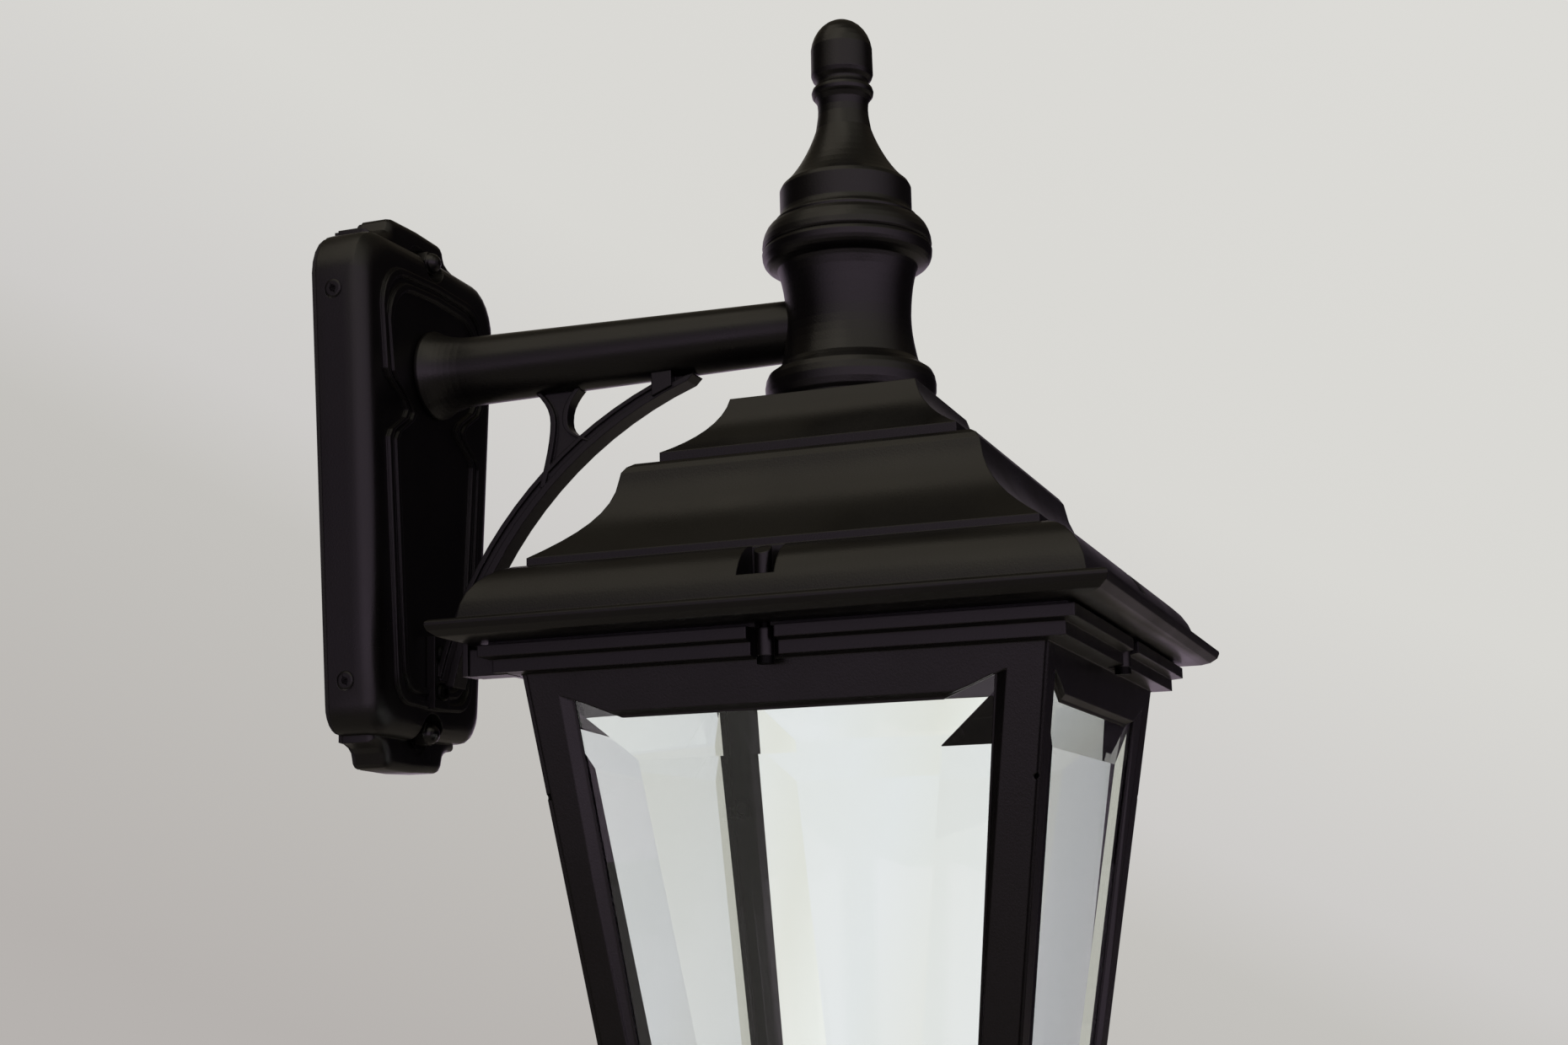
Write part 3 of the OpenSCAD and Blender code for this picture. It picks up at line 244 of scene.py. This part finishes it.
# Pressed in a hot mould: ivory, with half a gloss
urea = fine_finish("moulded_urea", "#DED8C6", "#E8E3D4", 2 * MM, (0.35, 0.45), IOR=1.55)
# Soft extruded tube: warm white and nearly matt
silicone = fine_finish("silicone_sheath", "#DAD5C9", "#E4E0D6", 1 * MM, (0.45, 0.55), IOR=1.41)
print("finishes:", [made.name for made in (zinc, blackened, rubber, porcelain, brass, urea, silicone)])

# %% [markdown]
# ## Giving each node its finish
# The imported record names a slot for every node. Each node could be painted by name, but
# the finish follows the slot here, so that a new node needs no new line. Only the small
# fixings that show beside the coat, and are black in the photograph, are named.

# %% Assign the finishes
FINISH = {
    "black_casting": black_coat,
    "zinc_steel": zinc,
    "black_rubber": rubber,
    "clear_glass": glass,
    "white_ceramic": porcelain,
    "brass": brass,
    "ivory_plastic": urea,
    "lead_sheath": silicone,
}
slot_of = {part["node"]: part["material_slot"] for part in frame["record"]["subparts"]}


def coat(piece, material):
    """One material over the whole piece."""
    piece.data.materials.clear()
    piece.data.materials.append(material)


for name, node in nodes.items():
    coat(node, FINISH[slot_of[name]])
for name in ("roof_screws", "cover_washers", "glass_clips", "clip_screws"):
    coat(nodes[name], blackened)
print("finished nodes:", len(nodes))

# %% [markdown]
# ## Finer pieces in the place of imported nodes
# A imported node keeps its mesh, so a finer shape is a piece of its own, which is shown in the
# node's place with the finish it is given and stays with the light's one body. It starts from a
# copy of the node where the shape is nearly right, because the copy is sure to fit. A
# imported mesh is loose triangles, so the copy's points are joined first.

# %% Helpers for finer pieces
JOIN_WITHIN = 0.001 * MM
FLAT_WITHIN = math.radians(0.5)


def new_piece(name, bm, node, finish):
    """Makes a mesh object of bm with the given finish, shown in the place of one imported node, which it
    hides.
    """
    mesh = bpy.data.meshes.new(name)
    bm.normal_update()
    print(name, "faces:", len(bm.faces), "open edges:", sum(edge.is_boundary for edge in bm.edges))
    bm.to_mesh(mesh)
    bm.free()
    piece = bpy.data.objects.new(name, mesh)
    scene.collection.objects.link(piece)
    coat(piece, finish)
    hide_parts(node)
    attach(piece, "root")


def merged_copy(node, whole_faces=True):
    """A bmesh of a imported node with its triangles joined, and with its flat faces made whole."""
    bm = bmesh.new()
    bm.from_mesh(nodes[node].data)
    bmesh.ops.remove_doubles(bm, verts=bm.verts, dist=JOIN_WITHIN)
    if whole_faces:
        bmesh.ops.dissolve_limit(bm, angle_limit=FLAT_WITHIN, verts=bm.verts, edges=bm.edges)
    return bm

# %% [markdown]
# ## Four bevelled panes
# The glazier grinds a wide shallow bevel round the inner face and polishes it. It works as
# a prism: in the top strip of the near window one looks under the far rail. A bevel on a
# slab's edges would take as much off its side as off its face, and this one is 27 mm wide
# and under 5 mm deep. So the outer face of each packed pane is kept and given its edge by
# an extrusion, and its inner face is inset and lifted in one step, which leaves four clean
# facets with mitred corners.

# %% Panes
PANE_EDGE = 0.8 * MM
PANE_BEVEL = 27 * MM
PANE_RISE = 4.8 * MM

for name in ("pane_front", "pane_rear", "pane_left", "pane_right"):
    bm = merged_copy(name)
    outer = max(bm.faces, key=lambda face: face.calc_area())
    outward = outer.normal.copy()
    bmesh.ops.delete(bm, geom=[face for face in bm.faces if face is not outer], context="FACES")
    made = bmesh.ops.extrude_face_region(bm, geom=[outer], use_keep_orig=True)["geom"]
    inner = [item for item in made if isinstance(item, bmesh.types.BMFace)]
    corners = [item for item in made if isinstance(item, bmesh.types.BMVert)]
    bmesh.ops.translate(bm, verts=corners, vec=-outward * PANE_EDGE)
    bmesh.ops.recalc_face_normals(bm, faces=bm.faces)
    lift = PANE_RISE if inner[0].normal.dot(outward) < 0 else -PANE_RISE
    bmesh.ops.inset_region(bm, faces=inner, thickness=PANE_BEVEL, depth=lift, use_even_offset=True)
    bmesh.ops.recalc_face_normals(bm, faces=bm.faces)
    print(name, "volume mm3:", round(bm.calc_volume() / MM ** 3))
    new_piece("bevelled_" + name, bm, name, glass)

# %% [markdown]
# ## Castings with smooth curves
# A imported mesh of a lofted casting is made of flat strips. On the real one the roof's
# hollows, the brace and the plate's corners are smooth, and only the edges that the
# pattern maker left sharp are crisp. More strips could be cut, but shading is enough: in a
# copy with its triangles joined, every edge under a small angle is smooth and the others
# stay sharp. No point moves.

# %% Smooth castings
CRISP_FROM = math.radians(19)

for name in ("roof", "lantern_frame", "wall_plate", "brace"):
    bm = merged_copy(name, whole_faces=False)
    for face in bm.faces:
        face.smooth = True
    for edge in bm.edges:
        edge.smooth = len(edge.link_faces) == 2 and edge.calc_face_angle(0) < CRISP_FROM
    print(name, "crisp edges:", sum(not edge.smooth for edge in bm.edges), "of", len(bm.edges))
    new_piece("cast_" + name, bm, name, black_coat)

# %% [markdown]
# ## Small turned parts built of rings
# A turned part could be a spun outline. Where its top changes from round to six-sided, as
# in a socket screw, a stack of rings is handier: each ring may have its own number of
# corners, and bridging them makes one closed skin. The helpers find where the packed
# solids of a node lie, build such a stack on z, and turn and move it to its place.

# %% Helpers for small turned parts
def islands(node):
    """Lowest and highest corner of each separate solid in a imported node."""
    bm = merged_copy(node)
    boxes, reached = [], set()
    for first in bm.verts:
        if first in reached:
            continue
        reached.add(first)
        points, ahead = [], [first]
        while ahead:
            vert = ahead.pop()
            points.append(vert.co.copy())
            for other in (edge.other_vert(vert) for edge in vert.link_edges):
                if other not in reached:
                    reached.add(other)
                    ahead.append(other)
        boxes.append([Vector([pick(point[i] for point in points) for i in range(3)]) for pick in (min, max)])
    bm.free()
    return boxes


def ring(bm, radius, height, corners):
    """A ring of edges round z, each edge once and always in the same order."""
    made = bmesh.ops.create_circle(bm, segments=corners, radius=radius)["verts"]
    bmesh.ops.translate(bm, verts=made, vec=(0, 0, height))
    return list(dict.fromkeys(edge for vert in made for edge in vert.link_edges))


def close_rings(bm, rings):
    """Bridges a stack of rings and fills both ends."""
    for lower, upper in zip(rings, rings[1:]):
        bmesh.ops.bridge_loops(bm, edges=lower + upper)
    bmesh.ops.holes_fill(bm, edges=bm.edges, sides=0)
    bmesh.ops.recalc_face_normals(bm, faces=bm.faces)


def place_one(one, at, facing, bm):
    """Turns one small part from z to the way it faces, moves it and adds it to bm."""
    turn = Vector((0, 0, 1)).rotation_difference(facing).to_matrix().to_4x4()
    bmesh.ops.transform(one, matrix=Matrix.Translation(at) @ turn, verts=one.verts)
    mesh = bpy.data.meshes.new("one")
    one.to_mesh(mesh)
    one.free()
    bm.from_mesh(mesh)
    bpy.data.meshes.remove(mesh)

# %% [markdown]
# ## Screws with a hexagon socket
# The screws of the brace's foot and of the base pan have low round heads with a hexagon
# socket. The socket could be cut by a second solid, which often leaves torn faces. Here
# the rings go up the shank, out along the seat, in over the rounded shoulder, on to the
# six corners of the socket and down to its floor, so it is all one closed skin.

# %% Screws
HEAD_HEIGHT = 2.4 * MM
HEAD_OUTLINE = ((1, 0), (1, 0.35), (0.93, 0.75), (0.76, 1))  # shares of its radius and height
SOCKET_RADIUS = 0.24  # a share of the head's width
SOCKET_FLOOR = 0.3  # a share of the head's height
SHANK_RADIUS = 0.28  # a share of the head's width
TIP_RADIUS = 0.7  # a share of the shank's radius
TIP_LENGTH = 0.4 * MM
SCREW_CORNERS = 24


def socket_screw(bm, width, length):
    """A screw on z with the seat of its head at 0 and its shank below."""
    head_r, shank_r, socket_r = width / 2, width * SHANK_RADIUS, width * SOCKET_RADIUS
    shank_l = length - HEAD_HEIGHT
    outline = [(shank_r * TIP_RADIUS, -shank_l), (shank_r, TIP_LENGTH - shank_l), (shank_r, 0)]
    outline += [(head_r * across, HEAD_HEIGHT * up) for across, up in HEAD_OUTLINE]
    rings = [ring(bm, radius, height, SCREW_CORNERS) for radius, height in outline]
    rings += [ring(bm, socket_r, HEAD_HEIGHT * up, 6) for up in (1, SOCKET_FLOOR)]
    close_rings(bm, rings)


def socket_screws(node, finish, along):
    """Replaces a node's screws, whose heads face the low end of the axis along."""
    facing = Vector((0, 0, 0))
    facing[along] = -1
    bm = bmesh.new()
    for low, high in islands(node):
        size = high - low
        seat = (low + high) / 2
        seat[along] = low[along] + HEAD_HEIGHT
        one = bmesh.new()
        socket_screw(one, max(size[i] for i in range(3) if i != along), size[along])
        place_one(one, seat, facing, bm)
    new_piece("socket_" + node, bm, node, finish)


socket_screws("brace_screws", blackened, along=1)
socket_screws("base_screws", zinc, along=2)

# %% [markdown]
# ## Flush plugs in the plate's sides
# Four small plugs close the casting's side holes. The sides lean, because the plate is
# wider above than below, so a plug that stands square would sink on one side. Its lean
# could be worked out from the plate's outline. Instead two rays from outside, above and
# below its hole, find the surface and the way it faces, which holds for any outline.

# %% Side plugs
PLUG_SUNK = 1.5 * MM
PLUG_PROUD = 0.45 * MM
PLUG_EDGE = ((0, 0.1 * MM), (0.25 * MM, 0.7 * PLUG_PROUD), (0.8 * MM, PLUG_PROUD))  # in, and up
PLUG_MIDDLE = 0.4  # the face's inner ring, as a share of the plug's radius
PLUG_CORNERS = 32
RAY_FROM = 200 * MM
RAY_BESIDE = 1.2 * MM  # how far from the plug's rim a ray meets the plate


def side_plug(radius):
    """A plug on z with the plate's surface at 0: a straight wall, a soft edge and a flat face."""
    outline = [(radius, -PLUG_SUNK)] + [(radius - inwards, up) for inwards, up in PLUG_EDGE]
    outline += [(radius * PLUG_MIDDLE, PLUG_PROUD)]
    one = bmesh.new()
    close_rings(one, [ring(one, size, height, PLUG_CORNERS) for size, height in outline])
    return one


plate = merged_copy("wall_plate")
plate_tree = BVHTree.FromBMesh(plate)
plate.free()
bm = bmesh.new()
for low, high in islands("side_plugs"):
    centre = (low + high) / 2
    radius = (high.y - low.y) / 2
    side = 1 if centre.x > 0 else -1
    starts = [Vector((RAY_FROM * side, centre.y, centre.z + step))
              for step in (radius + RAY_BESIDE, -radius - RAY_BESIDE)]
    above, below = [plate_tree.ray_cast(start, Vector((-side, 0, 0))) for start in starts]
    hit, normal = (above[0] + below[0]) / 2, above[1]
    place_one(side_plug(radius), hit, normal, bm)
    print("plug at", [round(v / MM, 1) for v in hit], "lean:", round(math.degrees(math.asin(normal.z)), 1))
new_piece("flush_side_plugs", bm, "side_plugs", black_coat)

# %% [markdown]
# ## The rolled thread of the lamp shell
# The lampholder's brass shell is thin sheet with a rounded thread rolled into it. A stack
# of rings would give grooves that never climb. So one wavy line is spun once round while
# it rises by one pitch, and the end of the turn meets its start. The skin is then cut
# level above and below, and thickened.

# %% Threaded shell
SHELL_PITCH = 3.63 * MM
SHELL_WAVE = 0.45 * MM
SHELL_SHEET = 0.3 * MM
WAVE_POINTS = 10  # points of the line in each pitch
TURN_STEPS = 48
LINE_SPARE = 1.5 * SHELL_PITCH  # how far below the shell the line starts
shell_low, shell_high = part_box("lamp_shell")
shell_r = (shell_high.x - shell_low.x) / 2 - SHELL_WAVE
centre = Vector(((shell_low.x + shell_high.x) / 2, (shell_low.y + shell_high.y) / 2, 0))
bm = bmesh.new()
count = int((shell_high.z - shell_low.z + 2 * SHELL_PITCH) / (SHELL_PITCH / WAVE_POINTS))
line = []
for i in range(count + 1):
    z = shell_low.z - LINE_SPARE + i * SHELL_PITCH / WAVE_POINTS
    wave = 0.5 + 0.5 * math.cos(2 * math.pi * i / WAVE_POINTS)
    radius = shell_r - SHELL_SHEET / 2 + SHELL_WAVE * wave
    line.append(bm.verts.new(centre + Vector((radius, 0, z))))
edges = [bm.edges.new(pair) for pair in zip(line, line[1:])]
bmesh.ops.spin(bm, geom=line + edges, cent=centre, axis=(0, 0, 1), dvec=(0, 0, SHELL_PITCH / TURN_STEPS),
               angle=2 * math.pi, steps=TURN_STEPS)
bmesh.ops.remove_doubles(bm, verts=bm.verts, dist=0.01 * MM)
for level, up in ((shell_low.z, -1), (shell_high.z, 1)):
    bmesh.ops.bisect_plane(bm, geom=bm.verts[:] + bm.edges[:] + bm.faces[:],
                           plane_co=(0, 0, level), plane_no=(0, 0, up), clear_outer=True)
bmesh.ops.recalc_face_normals(bm, faces=bm.faces)
for face in bm.faces:
    face.smooth = True
bmesh.ops.solidify(bm, geom=bm.faces[:], thickness=SHELL_SHEET)
new_piece("threaded_lamp_shell", bm, "lamp_shell", brass)

# %% [markdown]
# ## The studio
# A studio could be built of lamps and cards. Here most of it is in the world, as ramps
# over directions, because a ramp is easy to match to what the coat mirrors. A ray that
# comes from the camera sees the backdrop, one that went through glass sees a brighter
# one, and the rays that light the object see a tent.

# %% World
def grade(tree, value, low, high, stops):
    """A colour ramp over the values low to high, from (value, colour) stops."""
    along = add(tree, "ShaderNodeMapRange", i0=value, i1=low, i2=high)
    ramp = add(tree, "ShaderNodeValToRGB", i0=along.outputs[0])
    while len(ramp.color_ramp.elements) < len(stops):
        ramp.color_ramp.elements.new(0.999)  # anywhere: the loop below moves it
    for element, (at, shade) in zip(ramp.color_ramp.elements, stops):
        element.position = (at - low) / (high - low)
        element.color = linear(shade) if isinstance(shade, str) else (shade, shade, shade, 1.0)
    return ramp.outputs[0]


world = bpy.data.worlds.new("studio")
scene.world = world
world.use_nodes = True
tree = world.node_tree
tree.nodes.clear()
rays = add(tree, "ShaderNodeLightPath")
direction = add(tree, "ShaderNodeTexCoord").outputs["Generated"]
print("world:", world.name)

# %% [markdown]
# ## The backdrop
# The photograph's background is a pale grey that grows darker towards the lower left. A
# painted card would catch the object's shadow, so it is drawn along one slanted line of
# directions instead.

# %% Backdrop
BACKDROP_LINE = (0.17, -0.47, 1.0)
BACKDROP = [(-0.18, "#B6B2AF"), (0.06, "#C4C2BE"), (0.12, "#CECCCA"), (0.28, "#D9D8D4"), (0.54, "#DCDBD7")]
slant = add(tree, "ShaderNodeVectorMath", {"operation": "DOT_PRODUCT"}, i0=direction, i1=BACKDROP_LINE)
backdrop = grade(tree, slant.outputs["Value"], -0.18, 0.54, BACKDROP)
print("backdrop stops:", len(BACKDROP))

# %% [markdown]
# ## The tent
# The light on the object is that of a wide white tent which stands open on both sides: the
# front wall is bright, the rear wall is lit too, and the gaps between them are dark. The
# satin coat mirrors it, which gives each turned piece a broad lit band between black rims.
# The light is tinted by height, and a little warm light comes from above.

# %% Tent
TENT_LINE = (-0.82, -0.57, 0.0)
TENT = [(-1.0, 0.9), (-0.9, 0.8), (-0.76, 0.025), (0.1, 0.012), (0.22, 0.16), (0.34, 0.3), (0.5, 0.58),
        (0.9, 1.1)]
TINT = [(-1.0, "#F4DCF6"), (-0.1, "#F4DCF6"), (0.15, "#BEABBF"), (0.3, "#C0B0C1"), (0.55, "#CAC6B6"),
        (1.0, "#CAC6B6")]
OVERHEAD = [(-1.0, 0.0), (0.4, 0.0), (0.62, "#463F35"), (1.0, "#4A463A")]
tent_side = add(tree, "ShaderNodeVectorMath", {"operation": "DOT_PRODUCT"}, i0=direction, i1=TENT_LINE)
tent = grade(tree, tent_side.outputs["Value"], -1.0, 1.0, TENT)
height = add(tree, "ShaderNodeSeparateXYZ", i0=direction)
tint = grade(tree, height.outputs["Z"], -1.0, 1.0, TINT)
overhead = grade(tree, height.outputs["Z"], -1.0, 1.0, OVERHEAD)
walls = add(tree, "ShaderNodeMix", {"data_type": "RGBA", "blend_type": "MULTIPLY"}, i0=1.0, i6=tent, i7=tint)
whole_tent = add(tree, "ShaderNodeMix", {"data_type": "RGBA", "blend_type": "ADD"},
                 i0=1.0, i6=walls.outputs[2], i7=overhead)
print("tent stops:", len(TENT), "tint stops:", len(TINT), "overhead stops:", len(OVERHEAD))

# %% [markdown]
# ## What shows behind the glass
# In the photograph the panes are brighter than the background beside them, and turn from
# warm to cool and back across the picture. A lamp inside the lantern would light the
# frame as well. So a ray that went straight through the panes sees a brightness of its
# own, and one that was first thrown by a surface doesn't, because it would carry that
# light on to the castings.

# %% Behind the glass
GLOW_LINE = (0.34, -0.94, -0.25)
GLOW = [(-0.3, "#E8E6DC"), (-0.12, "#EDECE6"), (-0.04, "#F5F5F4"), (0.04, "#F6F7F9"), (0.1, "#F3F2EC"),
        (0.13, "#FFFFFC")]
across = add(tree, "ShaderNodeVectorMath", {"operation": "DOT_PRODUCT"}, i0=direction, i1=GLOW_LINE)
glow = grade(tree, across.outputs["Value"], -0.3, 0.3, GLOW)
thrown = add(tree, "ShaderNodeMath", {"operation": "ADD"},
             i0=rays.outputs["Diffuse Depth"], i1=rays.outputs["Glossy Depth"])
straight = add(tree, "ShaderNodeMath", {"operation": "LESS_THAN"}, i0=thrown.outputs[0], i1=0.5)
behind_glass = add(tree, "ShaderNodeMath", {"operation": "MULTIPLY"},
                   i0=rays.outputs["Is Transmission Ray"], i1=straight.outputs[0])
print("glow stops:", len(GLOW))

# %% Join the world
lighting = add(tree, "ShaderNodeBackground", Color=whole_tent.outputs[2], Strength=1.0)
shown = add(tree, "ShaderNodeBackground", Color=backdrop, Strength=1.0)
seen_through = add(tree, "ShaderNodeBackground", Color=glow, Strength=1.0)
camera_mix = add(tree, "ShaderNodeMixShader",
                 i0=rays.outputs["Is Camera Ray"], i1=lighting.outputs[0], i2=shown.outputs[0])
glass_mix = add(tree, "ShaderNodeMixShader",
                i0=behind_glass.outputs[0], i1=camera_mix.outputs[0], i2=seen_through.outputs[0])
add(tree, "ShaderNodeOutputWorld", i0=glass_mix.outputs[0])
print("world nodes:", len(tree.nodes))

# %% [markdown]
# ## The floor
# A pale floor far below the light throws a little of it back up, and closes the picture
# where one looks down. It could be left to its paint alone, but it would then be darker
# than the backdrop, so to the camera and through glass most of its tone is its own glow.

# %% Floor
FLOOR_Z = -1.25
FLOOR_REACH = 6
FLOOR_GLOW = 0.8
bm = bmesh.new()
bmesh.ops.create_grid(bm, x_segments=1, y_segments=1, size=FLOOR_REACH)
bmesh.ops.translate(bm, verts=bm.verts, vec=(0, 0, FLOOR_Z))
floor_mesh = bpy.data.meshes.new("floor")
bm.to_mesh(floor_mesh)
bm.free()
floor = bpy.data.objects.new("floor", floor_mesh)
scene.collection.objects.link(floor)
floor_paint, tree = new_material("pale_floor")
matt = add(tree, "ShaderNodeBsdfDiffuse", Color=linear("#DAD8D5"))
pale = add(tree, "ShaderNodeEmission", Color=linear("#CFCDCA"), Strength=1.0)
rays = add(tree, "ShaderNodeLightPath")
seen = add(tree, "ShaderNodeMath", {"operation": "MAXIMUM"},
           i0=rays.outputs["Is Camera Ray"], i1=rays.outputs["Is Transmission Ray"])
share = add(tree, "ShaderNodeMath", {"operation": "MULTIPLY"}, i0=seen.outputs[0], i1=FLOOR_GLOW)
floor_mix = add(tree, "ShaderNodeMixShader", i0=share.outputs[0], i1=matt.outputs[0], i2=pale.outputs[0])
add(tree, "ShaderNodeOutputMaterial", i0=floor_mix.outputs[0])
coat(floor, floor_paint)
print("floor at:", FLOOR_Z)

# %% [markdown]
# ## The top lamp
# One large soft lamp hangs above, on the camera's side of the lantern. The world could
# give this light too, but a lamp throws a soft shadow under the arm and the eaves.

# %% Top lamp
LAMP_AT = Vector((-0.9, 0.2, 1.6))
LAMP_SIZE = 1.8
LAMP_POWER = 5
lamp_data = bpy.data.lights.new("top", "AREA")
lamp_data.size = LAMP_SIZE
lamp_data.energy = LAMP_POWER
lamp_data.color = linear("#FFF4E0")[:3]
lamp = bpy.data.objects.new("top", lamp_data)
scene.collection.objects.link(lamp)
facing = Vector((axis_x, axis_y, 0)) - LAMP_AT
lamp.matrix_world = Matrix.Translation(LAMP_AT) @ facing.to_track_quat("-Z", "Y").to_matrix().to_4x4()
print("lamp at:", list(LAMP_AT), "watts:", LAMP_POWER)

# %% [markdown]
# ## Closing the notebook
# The picture's colours are shown through the standard view transform.

# %% View transform
scene.view_settings.view_transform = "Standard"
